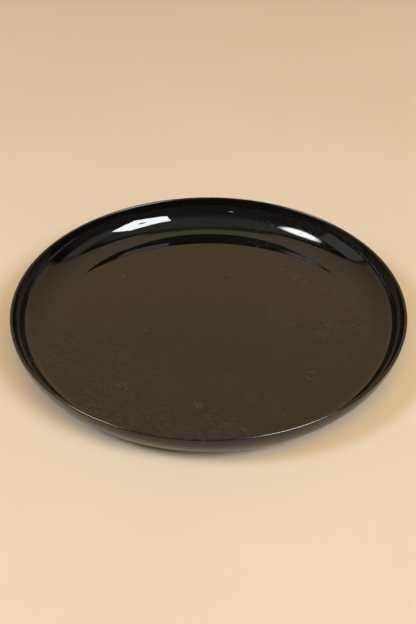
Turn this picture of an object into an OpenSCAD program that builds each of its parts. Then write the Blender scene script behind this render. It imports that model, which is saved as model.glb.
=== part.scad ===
// Round serving tray: one moulded shell with a curved wall, standing on four rubber feet.
// +Z is up. The origin is on the tray's axis, in the plane that the feet stand on.

/* [Tray] */
// Diameter over the outside of the lip
overall_d = 400; // [320:1:460]
// Depth inside, from the top of the lip down to the floor
depth = 33; // [20:0.5:50]
// Radius of the curve that turns the floor up into the wall, on its inner face
curve_r = 33; // [15:0.5:50]
// Thickness of the floor, the curved wall and the lip
wall_t = 3; // [1.5:0.1:4.5]

/* [Feet] */
// Diameter of a foot before it is pressed in
foot_d = 10; // [6:0.5:16]
// Height that a foot stands out below its collar
foot_proud = 1; // [0.8:0.1:3]
// Radius of the rounding round a foot's lower edge
foot_edge_r = 0.6; // [0.2:0.1:0.7]
// Distance from the edge of the flat floor in to the middle of a foot
foot_inset = 34; // [12:1:90]

/* [Collars] */
// Depth of the collar that a foot is pressed into
collar_h = 1.2; // [0.8:0.1:4]
// Thickness of the collar's ring
collar_t = 1.2; // [0.8:0.1:3]
// Radius of the rounding round the collar's outer lower edge
collar_edge_r = 0.5; // [0.2:0.1:0.7]
// How far the collar squeezes the foot, measured on the radius
foot_squeeze = 0.1; // [0.05:0.01:0.2]

/* [Gate mark] */
// Diameter of the trimmed gate at the middle of the underside
gate_d = 5; // [2:0.5:10]
// Height that the trimmed gate stands out
gate_h = 0.4; // [0.2:0.1:1]

/* [Hidden] */
$fn = 128;

// Heights: the feet carry the floor, and the lip is a full round as thick as the wall
foot_h = foot_proud + collar_h;
floor_z = foot_h;
floor_top_z = floor_z + wall_t;
curve_z = floor_top_z + curve_r;
lip_z = floor_top_z + depth - wall_t / 2;

// The wall's middle line: up the curve to the lip, or to upright and then straight
mid_r = curve_r + wall_t / 2;
lip_angle = lip_z < curve_z ? acos((curve_z - lip_z) / mid_r) : 90;
floor_r = overall_d / 2 - wall_t / 2 - mid_r * sin(lip_angle);

foot_r = foot_d / 2;
socket_r = foot_r - foot_squeeze;
collar_r = socket_r + collar_t;
foot_circle_r = floor_r - foot_inset;
first_foot_angle = 45;
foot_step_angle = 90;

// Puts its children at foot number i, counted anticlockwise from above
module at_foot(i) {
    rotate([0, 0, first_foot_angle + foot_step_angle * (i - 1)])
        translate([foot_circle_r, 0, 0]) children();
}

// Wedge from straight down round to the given angle, wide enough for the curved wall
module wedge(angle) {
    reach = 2 * (curve_r + wall_t);
    polygon([[0, 0], [0, -reach], [reach * tan(angle / 2), -reach],
             [reach * sin(angle), -reach * cos(angle)]]);
}

// Half section of the shell: flat floor, quarter-round wall and full-round lip
module shell_section() {
    translate([0, floor_z]) square([floor_r, wall_t]);
    translate([floor_r, curve_z]) intersection() {
        difference() {
            circle(curve_r + wall_t);
            circle(curve_r);
        }
        wedge(lip_angle);
    }
    if (lip_z > curve_z)
        translate([floor_r + curve_r, curve_z]) square([wall_t, lip_z - curve_z]);
    translate([floor_r + mid_r * sin(lip_angle), lip_z]) circle(wall_t / 2);
}

// Collar under the floor, from the floor's underside down to its rounded edge
module collar() {
    translate([0, 0, foot_proud]) difference() {
        rotate_extrude() {
            translate([0, collar_edge_r]) square([collar_r, collar_h - collar_edge_r]);
            square([collar_r - collar_edge_r, collar_edge_r]);
            translate([collar_r - collar_edge_r, collar_edge_r]) circle(collar_edge_r);
        }
        translate([0, 0, -1]) cylinder(h = collar_h + 1, r = socket_r);
    }
}

// The moulding: shell, four collars and the trimmed gate
module tray_shell() {
    color([0.02, 0.02, 0.02]) union() {
        rotate_extrude() shell_section();
        for (i = [1:4]) at_foot(i) collar();
        translate([0, 0, floor_z - gate_h]) cylinder(h = gate_h + wall_t / 2, d = gate_d);
    }
}

// Rubber plug with a rounded lower edge, its top against the floor's underside
module foot(i) {
    color([0.09, 0.09, 0.09]) at_foot(i) rotate_extrude() {
        translate([0, foot_edge_r]) square([foot_r, foot_h - foot_edge_r]);
        square([foot_r - foot_edge_r, foot_edge_r]);
        translate([foot_r - foot_edge_r, foot_edge_r]) circle(foot_edge_r);
    }
}

tray_shell();
foot(1);  // foot_1
foot(2);  // foot_2
foot(3);  // foot_3
foot(4);  // foot_4
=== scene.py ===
import bpy
import bmesh
import math
from mathutils import Matrix, Vector


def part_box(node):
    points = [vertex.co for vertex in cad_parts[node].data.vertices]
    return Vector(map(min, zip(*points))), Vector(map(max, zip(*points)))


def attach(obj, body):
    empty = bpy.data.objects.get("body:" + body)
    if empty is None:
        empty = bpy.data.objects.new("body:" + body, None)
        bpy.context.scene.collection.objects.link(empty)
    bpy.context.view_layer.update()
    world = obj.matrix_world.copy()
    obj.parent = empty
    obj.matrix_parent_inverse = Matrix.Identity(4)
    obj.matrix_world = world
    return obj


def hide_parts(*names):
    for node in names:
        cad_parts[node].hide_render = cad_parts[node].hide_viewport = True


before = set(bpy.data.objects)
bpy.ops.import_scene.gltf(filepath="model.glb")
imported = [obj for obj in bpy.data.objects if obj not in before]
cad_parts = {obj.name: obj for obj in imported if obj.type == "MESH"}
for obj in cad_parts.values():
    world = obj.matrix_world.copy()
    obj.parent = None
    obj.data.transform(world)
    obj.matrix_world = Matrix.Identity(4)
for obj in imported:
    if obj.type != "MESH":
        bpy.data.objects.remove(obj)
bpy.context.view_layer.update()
print("frame loaded:", ", ".join(sorted(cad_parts)))

# The studio is turned a little, so that the feet stand square to the tray's own X and Y
studio = {
    "turn": -5.3,            # degrees about Z, for the camera, the lights and the surroundings
    "lens": 49.16,           # mm on a 36 mm sensor
    "lookDown": 38.04,       # degrees below the horizon
    "camera": (-0.0005, -0.6951, 0.5621),
    "floorRadius": 2.6,      # metres
    "mirroredTwice": 0.45,   # dims a lamp's second mirror image more than real gloss would
}
turn = Matrix.Rotation(math.radians(studio["turn"]), 4, "Z")

shellLow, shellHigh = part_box("tray_shell")
rimRadius = shellHigh.x
lipTop = shellHigh.z


# Adds one shader node; "values" fills its sockets with numbers or links, by name or number
def put(tree, kind, values=None, **settings):
    made = tree.nodes.new("ShaderNode" + kind)
    for name, value in settings.items():
        setattr(made, name, value)
    for socket, value in (values or {}).items():
        if isinstance(value, bpy.types.NodeSocket):
            tree.links.new(value, made.inputs[socket])
        else:
            made.inputs[socket].default_value = value
    return made


# One step of arithmetic
def calc(tree, operation, *numbers):
    return put(tree, "Math", dict(enumerate(numbers)), operation=operation).outputs[0]


# A soft step from low to high, as the value goes from start to end
def fade(tree, value, start, end, low=0.0, high=1.0):
    names = {"Value": value, "From Min": start, "From Max": end, "To Min": low, "To Max": high}
    return put(tree, "MapRange", names, interpolation_type="SMOOTHSTEP").outputs["Result"]


# A colour that changes with the value, through stops of (value, colour)
def ramp(tree, value, stops):
    made = put(tree, "ValToRGB", {"Fac": value})
    while len(made.color_ramp.elements) < len(stops):
        made.color_ramp.elements.new(0.5)
    for element, (place, colour) in zip(made.color_ramp.elements, stops):
        element.position = place
        element.color = (*colour, 1)
    return made.outputs["Color"]


# From colour a to colour b
def mixed(tree, factor, a, b):
    made = put(tree, "Mix", data_type="RGBA")
    for socket, value in ((0, factor), (6, a), (7, b)):
        if isinstance(value, bpy.types.NodeSocket):
            tree.links.new(value, made.inputs[socket])
        elif socket == 0:
            made.inputs[0].default_value = value
        else:
            made.inputs[socket].default_value = (*value, 1)
    return made.outputs[2]


def newMaterial(name):
    material = bpy.data.materials.new(name)
    material.use_nodes = True
    tree = material.node_tree
    tree.nodes.clear()
    return material, tree


def newObject(name, bm, materials):
    mesh = bpy.data.meshes.new(name)
    bm.to_mesh(mesh)
    bm.free()
    for material in materials:
        mesh.materials.append(material)
    made = bpy.data.objects.new(name, mesh)
    bpy.context.scene.collection.objects.link(made)
    return made


# Turns one point of a half section about a centre in the XZ plane, and returns the last point
def arc(bm, point, centre, degrees, steps):
    made = bmesh.ops.spin(bm, geom=[point], cent=(centre[0], 0, centre[1]), axis=(0, 1, 0),
                          angle=math.radians(degrees), steps=steps)
    return [part for part in made["geom_last"] if isinstance(part, bmesh.types.BMVert)][0]


# Draws a straight stretch of a half section
def line(bm, point, x, z):
    made = bmesh.ops.extrude_vert_indiv(bm, verts=[point])["verts"][0]
    made.co = (x, 0, z)
    return made


# Turns a half section right round Z, and closes its seam and its poles
def lathe(bm, steps):
    bmesh.ops.spin(bm, geom=bm.verts[:] + bm.edges[:], cent=(0, 0, 0), axis=(0, 0, 1),
                   angle=math.tau, steps=steps, use_merge=True)
    bmesh.ops.remove_doubles(bm, verts=bm.verts, dist=1e-6)
    bmesh.ops.dissolve_degenerate(bm, edges=bm.edges, dist=1e-7)
    bmesh.ops.recalc_face_normals(bm, faces=bm.faces)


def smooth(made, degrees):
    made.data.shade_smooth()
    made.data.set_sharp_from_angle(angle=math.radians(degrees))


def makeCamera():
    data = bpy.data.cameras.new("camera")
    data.sensor_width = 36
    data.lens = studio["lens"]
    data.clip_start = 0.01
    made = bpy.data.objects.new("camera", data)
    bpy.context.scene.collection.objects.link(made)
    tilt = Matrix.Rotation(math.radians(90 - studio["lookDown"]), 4, "X")
    made.matrix_world = turn @ Matrix.Translation(studio["camera"]) @ tilt
    bpy.context.scene.camera = made


makeCamera()
print("camera placed")


# Fine straight scratches: a noise drawn out long in one direction, and only its crests kept
def scratchGroup():
    tree = bpy.data.node_groups.new("scratches", "ShaderNodeTree")
    face = tree.interface
    face.new_socket("Place", in_out="INPUT", socket_type="NodeSocketVector")
    face.new_socket("Degrees", in_out="INPUT", socket_type="NodeSocketFloat")
    face.new_socket("Per Metre", in_out="INPUT", socket_type="NodeSocketFloat")
    face.new_socket("Stretch", in_out="INPUT", socket_type="NodeSocketFloat")
    face.new_socket("Cover", in_out="INPUT", socket_type="NodeSocketFloat")
    face.new_socket("Lines", in_out="OUTPUT", socket_type="NodeSocketFloat")
    start = tree.nodes.new("NodeGroupInput")
    turned = put(tree, "VectorRotate", {"Vector": start.outputs["Place"],
                                        "Angle": calc(tree, "RADIANS", start.outputs["Degrees"])},
                 rotation_type="Z_AXIS").outputs[0]
    parts = put(tree, "SeparateXYZ", {"Vector": turned})
    along = calc(tree, "DIVIDE", parts.outputs["X"], start.outputs["Stretch"])
    drawn = put(tree, "CombineXYZ", {"X": along, "Y": parts.outputs["Y"], "Z": parts.outputs["Z"]})
    noise = put(tree, "TexNoise", {"Vector": drawn.outputs[0], "Scale": start.outputs["Per Metre"],
                                   "Detail": 2.0, "Roughness": 0.6, "Distortion": 0.15})
    limit = calc(tree, "SUBTRACT", 0.78, calc(tree, "MULTIPLY", start.outputs["Cover"], 0.2))
    lines = fade(tree, noise.outputs["Fac"], limit, calc(tree, "ADD", limit, 0.06))
    end = tree.nodes.new("NodeGroupOutput")
    tree.links.new(lines, end.inputs["Lines"])
    return tree


# Settled dust: tiny pale specks, thicker in clouds
def dustGroup():
    tree = bpy.data.node_groups.new("dust", "ShaderNodeTree")
    face = tree.interface
    face.new_socket("Place", in_out="INPUT", socket_type="NodeSocketVector")
    face.new_socket("Per Metre", in_out="INPUT", socket_type="NodeSocketFloat")
    face.new_socket("Cover", in_out="INPUT", socket_type="NodeSocketFloat")
    face.new_socket("Specks", in_out="OUTPUT", socket_type="NodeSocketFloat")
    start = tree.nodes.new("NodeGroupInput")
    cells = put(tree, "TexVoronoi", {"Vector": start.outputs["Place"],
                                     "Scale": start.outputs["Per Metre"]})
    cloud = put(tree, "TexNoise", {"Vector": start.outputs["Place"], "Scale": 14.0, "Detail": 3.0})
    chosen = put(tree, "SeparateColor", {"Color": cells.outputs["Color"]}).outputs["Red"]
    share = calc(tree, "MULTIPLY", start.outputs["Cover"], cloud.outputs["Fac"])
    kept = calc(tree, "LESS_THAN", chosen, share)
    dot = fade(tree, cells.outputs["Distance"], 0.24, 0.08)
    end = tree.nodes.new("NodeGroupOutput")
    tree.links.new(calc(tree, "MULTIPLY", kept, dot), end.inputs["Specks"])
    return tree


scratches = scratchGroup()
dust = dustGroup()


def useGroup(tree, group, **values):
    made = tree.nodes.new("ShaderNodeGroup")
    made.node_tree = group
    for name, value in values.items():
        socket = made.inputs[{"perMetre": "Per Metre"}.get(name, name.capitalize())]
        if isinstance(value, bpy.types.NodeSocket):
            tree.links.new(value, socket)
        else:
            socket.default_value = value
    return made.outputs[0]


glossPlastic = {
    "colour": (0.0024, 0.0025, 0.0021),
    "scuffed": (0.0150, 0.0140, 0.0120),
    "chalkyAndSheen": (0.085, 0.082, 0.074),      # pale dust and knocks, and painted sheen on the ring marks
    "roughness": 0.03,
    "scuffRoughness": 0.22,
    "leftScuffs": dict(degrees=38.0, perMetre=640.0, stretch=5.0, cover=1.25),
    "rightScuffs": dict(degrees=-24.0, perMetre=660.0, stretch=5.0, cover=1.2),
    "longScratches": dict(degrees=14.0, perMetre=120.0, stretch=30.0, cover=0.1),
    "elsewhere": 0.12,       # share of the scuffs that lies outside the two scuffed places
    "ringRadius": 0.0054,    # of the marks that the collars leave in the floor
    "ringWidth": 0.0007,
    "gateRadius": 0.0038,    # of the mark in the middle of the floor
    "gateWidth": 0.0012,
    # x, y and size of small pale knocks in the floor
    "knocks": [(-0.0214, -0.1225, 0.006), (0.0313, 0.0824, 0.003), (-0.0658, -0.0079, 0.003)],
    "rippleHeight": 0.000016,             # of the turned rings that the mould left on the wall
    "wallStart": 0.006,      # from the flat floor's edge out to where the rings are full
    "swellHeight": 0.00005,  # of the slow waves in the whole surface
    "scratchDepth": 0.000004,
    "lipHeight": 0.0012,     # how far down from its top hands have dulled the lip
    "lipFade": 0.001,        # and how far below that the wear runs out
    "lipWear": 0.9,
}


def makeGlossPlastic(markCircle, flatRadius):
    material, tree = newMaterial("glossBlackPlastic")
    place = put(tree, "TexCoord").outputs["Object"]
    parts = put(tree, "SeparateXYZ", {"Vector": place})
    x, y, z = parts.outputs["X"], parts.outputs["Y"], parts.outputs["Z"]
    level = put(tree, "CombineXYZ", {"X": x, "Y": y}).outputs[0]
    out = put(tree, "VectorMath", {0: level}, operation="LENGTH").outputs["Value"]

    # scratches in several directions, with a scuffed patch at the front left and one at the right
    fine = useGroup(tree, scratches, place=place, **glossPlastic["leftScuffs"])
    cross = useGroup(tree, scratches, place=place, **glossPlastic["rightScuffs"])
    long = useGroup(tree, scratches, place=place, **glossPlastic["longScratches"])
    left = fade(tree, calc(tree, "ADD", calc(tree, "MULTIPLY", x, -0.62),
                           calc(tree, "MULTIPLY", y, -0.78)), 0.02, 0.13)
    left = calc(tree, "ADD", left, glossPlastic["elsewhere"])
    right = calc(tree, "MULTIPLY", fade(tree, x, 0.02, 0.12), fade(tree, y, -0.11, -0.02))
    right = calc(tree, "ADD", right, glossPlastic["elsewhere"])
    cloud = put(tree, "TexNoise", {"Vector": place, "Scale": 22.0, "Detail": 3.0}).outputs["Fac"]
    cloud = fade(tree, cloud, 0.35, 0.65, 0.25, 1.0)
    onLeft = calc(tree, "MULTIPLY", calc(tree, "MULTIPLY", fine, left), cloud)
    onRight = calc(tree, "MULTIPLY", calc(tree, "MULTIPLY", cross, right), cloud)
    haze = calc(tree, "MAXIMUM", calc(tree, "MAXIMUM", onLeft, onRight), calc(tree, "MULTIPLY", long, 0.25))

    # ring marks over the four collars, painted pale as sheen that their slopes would catch: by symmetry one
    # distance serves all four
    spot = markCircle * math.sqrt(0.5)
    fromSpot = put(tree, "CombineXYZ", {
        "X": calc(tree, "SUBTRACT", calc(tree, "ABSOLUTE", x), spot),
        "Y": calc(tree, "SUBTRACT", calc(tree, "ABSOLUTE", y), spot)}).outputs[0]
    radius = put(tree, "VectorMath", {0: fromSpot}, operation="LENGTH").outputs["Value"]
    offRing = calc(tree, "ABSOLUTE", calc(tree, "SUBTRACT", radius, glossPlastic["ringRadius"]))
    broken = put(tree, "TexNoise", {"Vector": place, "Scale": 210.0, "Detail": 2.0}).outputs["Fac"]
    ring = calc(tree, "MULTIPLY", fade(tree, offRing, glossPlastic["ringWidth"], 0.0),
                fade(tree, broken, 0.48, 0.64, 0.05, 0.6))
    # the gate's ring mark is painted pale the same way: painted sheen, not a colour of the plastic
    offGate = calc(tree, "ABSOLUTE", calc(tree, "SUBTRACT", out, glossPlastic["gateRadius"]))
    gateMarkSheen = calc(tree, "MULTIPLY", fade(tree, offGate, glossPlastic["gateWidth"], 0.0),
                    fade(tree, broken, 0.5, 0.62, 0.0, 0.6))
    specks = useGroup(tree, dust, place=place, perMetre=430.0, cover=0.035)
    # pale colour: the dust specks and knocks are real, while the two ring marks' share is painted sheen
    chalkAndSheen = calc(tree, "MAXIMUM", calc(tree, "MAXIMUM", ring, gateMarkSheen), specks)
    crumbs = put(tree, "TexNoise", {"Vector": place, "Scale": 620.0, "Detail": 2.0}).outputs["Fac"]
    crumbs = fade(tree, crumbs, 0.52, 0.62, 0.0, 0.7)
    for knockX, knockY, size in glossPlastic["knocks"]:
        away = put(tree, "VectorMath", {0: level, 1: (knockX, knockY, 0)}, operation="DISTANCE")
        knock = calc(tree, "MULTIPLY", fade(tree, away.outputs["Value"], size, size / 3), crumbs)
        chalkAndSheen = calc(tree, "MAXIMUM", chalkAndSheen, knock)

    # the wall keeps the mould's turned rings, and nowhere is the surface quite flat
    turned = put(tree, "TexNoise", {"Vector": put(tree, "CombineXYZ", {"X": out, "Y": z}).outputs[0],
                                    "Scale": 620.0, "Detail": 2.0}).outputs["Fac"]
    onWall = fade(tree, out, flatRadius, flatRadius + glossPlastic["wallStart"])
    ripple = calc(tree, "MULTIPLY", calc(tree, "MULTIPLY", turned, onWall), glossPlastic["rippleHeight"])
    swell = put(tree, "TexNoise", {"Vector": place, "Scale": 14.0, "Detail": 1.0}).outputs["Fac"]
    raised = calc(tree, "ADD", ripple, calc(tree, "MULTIPLY", swell, glossPlastic["swellHeight"]))
    height = calc(tree, "SUBTRACT", raised, calc(tree, "MULTIPLY", haze, glossPlastic["scratchDepth"]))
    bump = put(tree, "Bump", {"Height": height, "Strength": 1.0, "Distance": 1.0})
    wornFrom = lipTop - glossPlastic["lipHeight"]
    handled = calc(tree, "MULTIPLY", fade(tree, z, wornFrom - glossPlastic["lipFade"], wornFrom),
                   glossPlastic["lipWear"])
    marks = calc(tree, "MAXIMUM", calc(tree, "MAXIMUM", haze, chalkAndSheen), handled)
    rough = fade(tree, marks, 0.0, 1.0, glossPlastic["roughness"], glossPlastic["scuffRoughness"])
    worn = mixed(tree, haze, glossPlastic["colour"], glossPlastic["scuffed"])
    shader = put(tree, "BsdfPrincipled", {
        "Base Color": mixed(tree, chalkAndSheen, worn, glossPlastic["chalkyAndSheen"]),
        "Roughness": rough, "IOR": 1.5, "Normal": bump.outputs[0]})
    tree.links.new(shader.outputs[0], put(tree, "OutputMaterial").inputs["Surface"])
    return material


satinPlastic = {             # the underside
    "colour": (0.006, 0.006, 0.0055),
    "scuffed": (0.03, 0.029, 0.027),
    "roughness": 0.3,
    "scuffRoughness": 0.55,
    "grainHeight": 0.00002,
    "scratchDepth": 0.00001,
}


# Moulded grain with rubbed scratches and dust
def makeSatinPlastic():
    material, tree = newMaterial("satinBlackPlastic")
    place = put(tree, "TexCoord").outputs["Object"]
    grain = put(tree, "TexNoise", {"Vector": place, "Scale": 2600.0, "Detail": 2.0}).outputs["Fac"]
    lines = useGroup(tree, scratches, place=place, degrees=64.0, perMetre=240.0, stretch=24.0, cover=0.5)
    specks = useGroup(tree, dust, place=place, perMetre=420.0, cover=0.12)
    marks = calc(tree, "MAXIMUM", calc(tree, "MULTIPLY", lines, 0.5), specks)
    height = calc(tree, "SUBTRACT", calc(tree, "MULTIPLY", grain, satinPlastic["grainHeight"]),
                  calc(tree, "MULTIPLY", lines, satinPlastic["scratchDepth"]))
    bump = put(tree, "Bump", {"Height": height, "Strength": 1.0, "Distance": 1.0})
    rough = fade(tree, marks, 0.0, 1.0, satinPlastic["roughness"], satinPlastic["scuffRoughness"])
    shader = put(tree, "BsdfPrincipled", {
        "Base Color": mixed(tree, marks, satinPlastic["colour"], satinPlastic["scuffed"]),
        "Roughness": rough, "IOR": 1.5, "Normal": bump.outputs[0]})
    tree.links.new(shader.outputs[0], put(tree, "OutputMaterial").inputs["Surface"])
    return material


rubber = {
    "colour": (0.028, 0.028, 0.027),
    "dusty": (0.085, 0.078, 0.068),
    "dustHeight": 0.0009,    # how far up from the table a foot picks up dust
    "roughness": 0.78,
    "dryRoughness": 0.92,
    "grainHeight": 0.00003,
}


# Matt grain, and dust picked up at the foot's lower edge
def makeRubber():
    material, tree = newMaterial("footRubber")
    place = put(tree, "TexCoord").outputs["Object"]
    grain = put(tree, "TexNoise", {"Vector": place, "Scale": 3200.0, "Detail": 3.0}).outputs["Fac"]
    height = put(tree, "SeparateXYZ", {"Vector": place}).outputs["Z"]
    nearFloor = fade(tree, height, rubber["dustHeight"], 0.0)
    specks = useGroup(tree, dust, place=place, perMetre=2600.0, cover=0.6)
    dirt = calc(tree, "MULTIPLY", calc(tree, "ADD", 0.25, calc(tree, "MULTIPLY", specks, 0.75)), nearFloor)
    bump = put(tree, "Bump", {"Height": calc(tree, "MULTIPLY", grain, rubber["grainHeight"]),
                              "Strength": 1.0, "Distance": 1.0})
    rough = fade(tree, grain, 0.3, 0.7, rubber["roughness"], rubber["dryRoughness"])
    shader = put(tree, "BsdfPrincipled", {
        "Base Color": mixed(tree, dirt, rubber["colour"], rubber["dusty"]),
        "Roughness": rough, "IOR": 1.52, "Normal": bump.outputs[0]})
    tree.links.new(shader.outputs[0], put(tree, "OutputMaterial").inputs["Surface"])
    return material


shell = {
    "wall": 0.003,           # thickness of the floor, the curved wall and the lip
    "depth": 0.033,          # inside, from the top of the lip to the floor
    "curve": 0.033,          # inner radius of the curve from the floor to the wall
    "edgeLoop": 0.0006,      # from the end of a flat to the loop that keeps it flat
    "turnSteps": 384,
    "curveSteps": 40,
    "lipSteps": 14,
}
collar = {
    "wall": 0.0012,
    "squeeze": 0.0001,       # on the foot's radius
    "edge": 0.0005,          # rounding of the outer lower edge
    "turnSteps": 72,
    "edgeSteps": 6,
}
gate = {
    "radius": 0.0025,
    "height": 0.0004,
    "edge": 0.00015,
}
footLow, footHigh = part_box("foot_1")
footRadius = (footHigh.x - footLow.x) / 2
footCircle = math.hypot(footLow.x + footHigh.x, footLow.y + footHigh.y) / 2
half = shell["wall"] / 2
floorTop = lipTop - shell["depth"]
floorUnder = floorTop - shell["wall"]

# The wall's middle line runs up a curve to the lip, so the curve's own radius gives the flat floor's
curveZ = floorTop + shell["curve"]
middle = shell["curve"] + half
lipAngle = math.degrees(math.acos((curveZ - (lipTop - half)) / middle))
floorRadius = rimRadius - half - middle * math.sin(math.radians(lipAngle))


# Floor, curved wall and full-round lip: one closed half section, inside and outside, turned round
def makeShellBody(materials):
    lip = (rimRadius - half, lipTop - half)
    inner = floorRadius - shell["edgeLoop"]

    bm = bmesh.new()
    point = bm.verts.new((0, 0, floorTop))
    point = line(bm, point, inner / 2, floorTop)
    point = line(bm, point, inner, floorTop)
    point = line(bm, point, floorRadius, floorTop)
    point = arc(bm, point, (floorRadius, curveZ), -lipAngle, shell["curveSteps"])
    point = arc(bm, point, lip, 180, shell["lipSteps"])
    point = arc(bm, point, (floorRadius, curveZ), lipAngle, shell["curveSteps"])
    point = line(bm, point, inner, floorUnder)
    point = line(bm, point, inner / 2, floorUnder)
    line(bm, point, 0, floorUnder)
    lathe(bm, shell["turnSteps"])
    for face in bm.faces:
        centre = face.calc_center_median()
        under = centre.z < floorUnder + half and math.hypot(centre.x, centre.y) < floorRadius
        face.material_index = 1 if under else 0
    return newObject("trayShell", bm, materials)


# Collar under the floor at each foot, its ring open downwards, sunk a little into the floor to join it
def makeCollars(materials):
    outer = footRadius - collar["squeeze"] + collar["wall"]
    socket = footRadius - collar["squeeze"]
    bottom = shellLow.z
    top = floorUnder + shell["wall"] / 3
    bm = bmesh.new()
    point = bm.verts.new((socket, 0, top))
    point = line(bm, point, socket, bottom)
    point = line(bm, point, outer - collar["edge"], bottom)
    point = arc(bm, point, (outer - collar["edge"], bottom + collar["edge"]), -90, collar["edgeSteps"])
    point = line(bm, point, outer, top)
    bm.verts.ensure_lookup_table()
    bm.edges.new((point, bm.verts[0]))
    lathe(bm, collar["turnSteps"])
    ring = bm.verts[:] + bm.edges[:] + bm.faces[:]
    bmesh.ops.translate(bm, verts=bm.verts, vec=(footCircle, 0, 0))
    bmesh.ops.rotate(bm, verts=bm.verts, cent=(0, 0, 0), matrix=Matrix.Rotation(math.radians(45), 3, "Z"))
    bmesh.ops.spin(bm, geom=ring, cent=(0, 0, 0), axis=(0, 0, 1), angle=math.radians(270),
                   steps=3, use_duplicate=True)
    return newObject("collars", bm, materials)


# The trimmed gate in the middle of the underside
def makeGate(materials):
    bottom = floorUnder - gate["height"]
    bm = bmesh.new()
    point = bm.verts.new((0, 0, bottom))
    point = line(bm, point, gate["radius"] - gate["edge"], bottom)
    point = arc(bm, point, (gate["radius"] - gate["edge"], bottom + gate["edge"]), -90, 4)
    point = line(bm, point, gate["radius"], floorUnder + shell["wall"] / 3)
    line(bm, point, 0, floorUnder + shell["wall"] / 3)
    lathe(bm, 48)
    return newObject("gate", bm, materials)


# Joins closed pieces into one solid mesh
def unite(body, others):
    for other in others:
        modifier = body.modifiers.new("join", "BOOLEAN")
        modifier.operation = "UNION"
        modifier.solver = "EXACT"
        modifier.object = other
    solid = bpy.data.meshes.new_from_object(body.evaluated_get(bpy.context.evaluated_depsgraph_get()))
    body.modifiers.clear()
    body.data = solid
    for other in others:
        bpy.data.objects.remove(other)


glossMaterial = makeGlossPlastic(footCircle, floorRadius)
satinMaterial = makeSatinPlastic()
rubberMaterial = makeRubber()

trayShell = makeShellBody([glossMaterial, satinMaterial])
unite(trayShell, [makeCollars([satinMaterial]), makeGate([satinMaterial])])
smooth(trayShell, 30)
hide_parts("tray_shell")
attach(trayShell, "root")
print("shell made:", len(trayShell.data.polygons), "faces")


foot = {
    "edge": 0.0006,          # rounding of the lower edge
    "edgeSteps": 8,
    "turnSteps": 72,
}


# Plug with a rounded lower edge and a flat top, on the frame's own box for it
def makeFoot(name, node):
    low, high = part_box(node)
    centre = (low + high) / 2
    bm = bmesh.new()
    point = bm.verts.new((0, 0, low.z))
    point = line(bm, point, (footRadius - foot["edge"]) / 2, low.z)
    point = line(bm, point, footRadius - foot["edge"], low.z)
    point = arc(bm, point, (footRadius - foot["edge"], low.z + foot["edge"]), -90, foot["edgeSteps"])
    point = line(bm, point, footRadius, high.z)
    line(bm, point, 0, high.z)
    lathe(bm, foot["turnSteps"])
    bmesh.ops.translate(bm, verts=bm.verts, vec=(centre.x, centre.y, 0))
    made = newObject(name, bm, [rubberMaterial])
    smooth(made, 40)
    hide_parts(node)
    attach(made, "root")


for number in range(1, 5):
    makeFoot(f"foot{number}", f"foot_{number}")
print("feet made")


paper = {
    "colour": (0.66, 0.56, 0.42),
    "darker": (0.64, 0.54, 0.40),
    "roughness": 0.85,
    "sheen": 0.2,
    "fibreHeight": 0.00005,
    "below": 0.0001,         # the paper lies this far under the feet
}


# Cloudy colour and a fine fibre
def makePaper():
    material, tree = newMaterial("paper")
    place = put(tree, "TexCoord").outputs["Object"]
    cloud = put(tree, "TexNoise", {"Vector": place, "Scale": 3.0, "Detail": 4.0}).outputs["Fac"]
    fibre = put(tree, "TexNoise", {"Vector": place, "Scale": 900.0, "Detail": 3.0}).outputs["Fac"]
    bump = put(tree, "Bump", {"Height": calc(tree, "MULTIPLY", fibre, paper["fibreHeight"]),
                              "Strength": 1.0, "Distance": 1.0})
    shader = put(tree, "BsdfPrincipled", {
        "Base Color": mixed(tree, fade(tree, cloud, 0.3, 0.7), paper["darker"], paper["colour"]),
        "Roughness": paper["roughness"], "Specular IOR Level": paper["sheen"], "Normal": bump.outputs[0]})
    tree.links.new(shader.outputs[0], put(tree, "OutputMaterial").inputs["Surface"])
    return material


def makeFloor():
    bm = bmesh.new()
    bmesh.ops.create_circle(bm, cap_ends=True, radius=studio["floorRadius"], segments=96)
    made = newObject("studioFloor", bm, [makePaper()])
    made.location.z = -paper["below"]


# Where a thing stands that is seen from the tray at this azimuth (from the far side, clockwise) and height
def seenAt(azimuth, elevation, distance):
    a, e = math.radians(azimuth), math.radians(elevation)
    flat = distance * math.cos(e)
    return turn @ Vector((flat * math.sin(a), flat * math.cos(a), distance * math.sin(e)))
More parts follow.
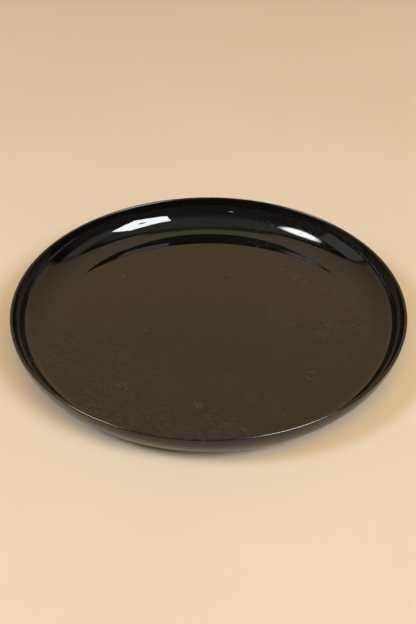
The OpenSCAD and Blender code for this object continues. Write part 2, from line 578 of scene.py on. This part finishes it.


# Each lamp is an area light for the shadows, which gloss doesn't see, a glowing face that only
# gloss sees, or both, so their strengths are set apart. The face's
# glow falls off from "core" to its edge, and is dark in its middle, where a lamp head would hang.
# Sizes are angles seen from the tray.
def makeLamp(name, lit, seen):
    if lit:
        data = bpy.data.lights.new(name, "AREA")
        data.shape = "DISK"
        data.size = 2 * lit["distance"] * math.tan(math.radians(lit["radius"]))
        data.energy = lit["watts"]
        data.color = lit["colour"]
        light = bpy.data.objects.new(name, data)
        bpy.context.scene.collection.objects.link(light)
        light.location = seenAt(lit["azimuth"], lit["elevation"], lit["distance"])
        light.rotation_euler = light.location.to_track_quat("Z", "Y").to_euler()
        light.visible_glossy = False
    if not seen:
        return

    size = seen["distance"] * math.tan(math.radians(seen["radius"]))
    material, tree = newMaterial(name)
    away = put(tree, "VectorMath", {0: put(tree, "TexCoord").outputs["Object"]}, operation="LENGTH")
    share = calc(tree, "DIVIDE", away.outputs["Value"], size)
    glow = fade(tree, share, seen["core"], 1.0, 1.0, 0.0) if seen["core"] < 1 else 1.0
    dark = fade(tree, share, seen["head"] * 0.7, seen["head"] * 1.2)
    # not how light behaves: a lamp mirrored in the wall and again in the floor is dimmed further
    twice = fade(tree, put(tree, "LightPath").outputs["Ray Depth"], 1.0, 2.0, 1.0, studio["mirroredTwice"])
    level = calc(tree, "MULTIPLY", calc(tree, "MULTIPLY", glow, dark),
                 calc(tree, "MULTIPLY", twice, seen["radiance"]))
    shader = put(tree, "Emission", {"Color": (*seen["colour"], 1), "Strength": level})
    tree.links.new(shader.outputs[0], put(tree, "OutputMaterial").inputs["Surface"])
    bm = bmesh.new()
    bmesh.ops.create_circle(bm, cap_ends=True, radius=size, segments=seen["sides"])
    bmesh.ops.rotate(bm, verts=bm.verts, matrix=Matrix.Rotation(math.radians(seen["roll"]), 3, "Z"))
    face = newObject(name + "Face", bm, [material])
    face.location = seenAt(seen["azimuth"], seen["elevation"], seen["distance"])
    face.rotation_euler = face.location.to_track_quat("Z", "Y").to_euler()
    face.visible_camera = face.visible_diffuse = False


# azimuth and elevation in degrees, distance in metres, radius in degrees
lamps = {
    "rightUmbrella": {
        "lit": dict(azimuth=132, elevation=42, distance=3.5, radius=12, watts=98, colour=(0.69, 0.79, 1.0)),
        "seen": dict(azimuth=132.0, elevation=42.5, distance=4.0, radius=17.0, core=1.0, head=0.13,
                     sides=5, roll=35, radiance=23, colour=(0.97, 0.99, 1.0))},
    "leftUmbrella": {
        "lit": dict(azimuth=-111, elevation=44, distance=3.5, radius=8, watts=74, colour=(0.47, 0.66, 1.0)),
        "seen": dict(azimuth=-108.5, elevation=46.5, distance=4.0, radius=12.5, core=0.5, head=0.07,
                     sides=48, roll=0, radiance=25, colour=(1.0, 1.0, 1.0))},
    "warmFill": {
        "lit": dict(azimuth=180, elevation=63, distance=6.0, radius=22, watts=246, colour=(1.0, 0.59, 0.01)),
        "seen": None},
    "farLamp": {
        "lit": None,
        "seen": dict(azimuth=-165.5, elevation=26.0, distance=4.0, radius=1.5, core=0.6, head=0.01,
                     sides=24, roll=0, radiance=14, colour=(1.0, 0.95, 0.85))},
}


# Colours by height above the horizon, as a share of the way up to the zenith. Azimuths are in
# degrees clockwise from the far side.
surroundings = {
    "paperShare": 0.3,       # matt things get this share of the room's light
    "behind": (0.72, 0.60, 0.45),         # what shows past the paper's edge
    "backdrop": [(0.0, (0.74, 0.50, 0.28)), (0.2, (0.66, 0.46, 0.245)), (0.40, (0.80, 0.545, 0.295)),
                 (0.55, (0.92, 0.66, 0.40)), (0.70, (1.0, 0.78, 0.55)), (0.78, (0.95, 0.74, 0.50))],
    "backdropTop": (0.835, 0.785),
    "backdropSide": (77, 71),
    "room": [(0.0, (0.13, 0.095, 0.075)), (0.25, (0.12, 0.085, 0.07)), (0.45, (0.13, 0.115, 0.095)),
             (0.62, (0.40, 0.385, 0.32)), (0.95, (0.43, 0.41, 0.34))],
    "overBackdrop": [(0.80, (0.0, 0.0, 0.0)), (0.84, (0.16, 0.14, 0.10)), (0.95, (0.24, 0.22, 0.18))],
    # start and end of the soft edges: at the left, at the right, low and high
    "leftWall": dict(colour=(0.74, 0.70, 0.58), left=(-107, -104), right=(-75, -79),
                     low=None, high=(0.40, 0.35)),
    "rightWall": dict(colour=(0.56, 0.50, 0.41), left=(70, 82), right=(122, 110),
                      low=(0.23, 0.31), high=(0.52, 0.43)),
}


# A plain wall in the room, over what is there already
def addWall(tree, seen, azimuth, elevation, wall):
    cover = calc(tree, "MULTIPLY", fade(tree, azimuth, *wall["left"]), fade(tree, azimuth, *wall["right"]))
    if wall["low"]:
        cover = calc(tree, "MULTIPLY", cover, fade(tree, elevation, *wall["low"]))
    cover = calc(tree, "MULTIPLY", cover, fade(tree, elevation, *wall["high"]))
    return mixed(tree, cover, seen, wall["colour"])


# A paper backdrop on the far side, and a dim room elsewhere
def makeSurroundings():
    world = bpy.data.worlds.new("studio")
    world.use_nodes = True
    bpy.context.scene.world = world
    tree = world.node_tree
    tree.nodes.clear()
    way = put(tree, "VectorRotate", {"Vector": put(tree, "TexCoord").outputs["Generated"],
                                     "Angle": math.radians(-studio["turn"])},
              rotation_type="Z_AXIS").outputs[0]
    parts = put(tree, "SeparateXYZ", {"Vector": way})
    elevation = calc(tree, "MULTIPLY", calc(tree, "ARCSINE", parts.outputs["Z"]), 2 / math.pi)
    azimuth = calc(tree, "DEGREES", calc(tree, "ARCTAN2", parts.outputs["X"], parts.outputs["Y"]))
    side = calc(tree, "ABSOLUTE", azimuth)

    onPaper = calc(tree, "MULTIPLY", fade(tree, elevation, *surroundings["backdropTop"]),
                   fade(tree, side, *surroundings["backdropSide"]))
    seen = mixed(tree, fade(tree, side, 100, 80), ramp(tree, elevation, surroundings["room"]),
                 ramp(tree, elevation, surroundings["overBackdrop"]))
    seen = mixed(tree, onPaper, seen, ramp(tree, elevation, surroundings["backdrop"]))
    seen = addWall(tree, seen, azimuth, elevation, surroundings["leftWall"])
    seen = addWall(tree, seen, azimuth, elevation, surroundings["rightWall"])

    # gloss sees the room in full, and matt things get only a share of its light
    path = put(tree, "LightPath").outputs
    level = fade(tree, path["Is Diffuse Ray"], 0.0, 1.0, 1.0, surroundings["paperShare"])
    light = put(tree, "Background", {"Color": seen, "Strength": level})
    shown = put(tree, "Background", {"Color": (*surroundings["behind"], 1), "Strength": 1.0})
    either = put(tree, "MixShader", {0: path["Is Camera Ray"], 1: light.outputs[0], 2: shown.outputs[0]})
    tree.links.new(either.outputs[0], put(tree, "OutputWorld").inputs["Surface"])


makeFloor()
for name, values in lamps.items():
    makeLamp(name, **values)
makeSurroundings()
bpy.context.scene.view_settings.view_transform = "Standard"
print("studio made")
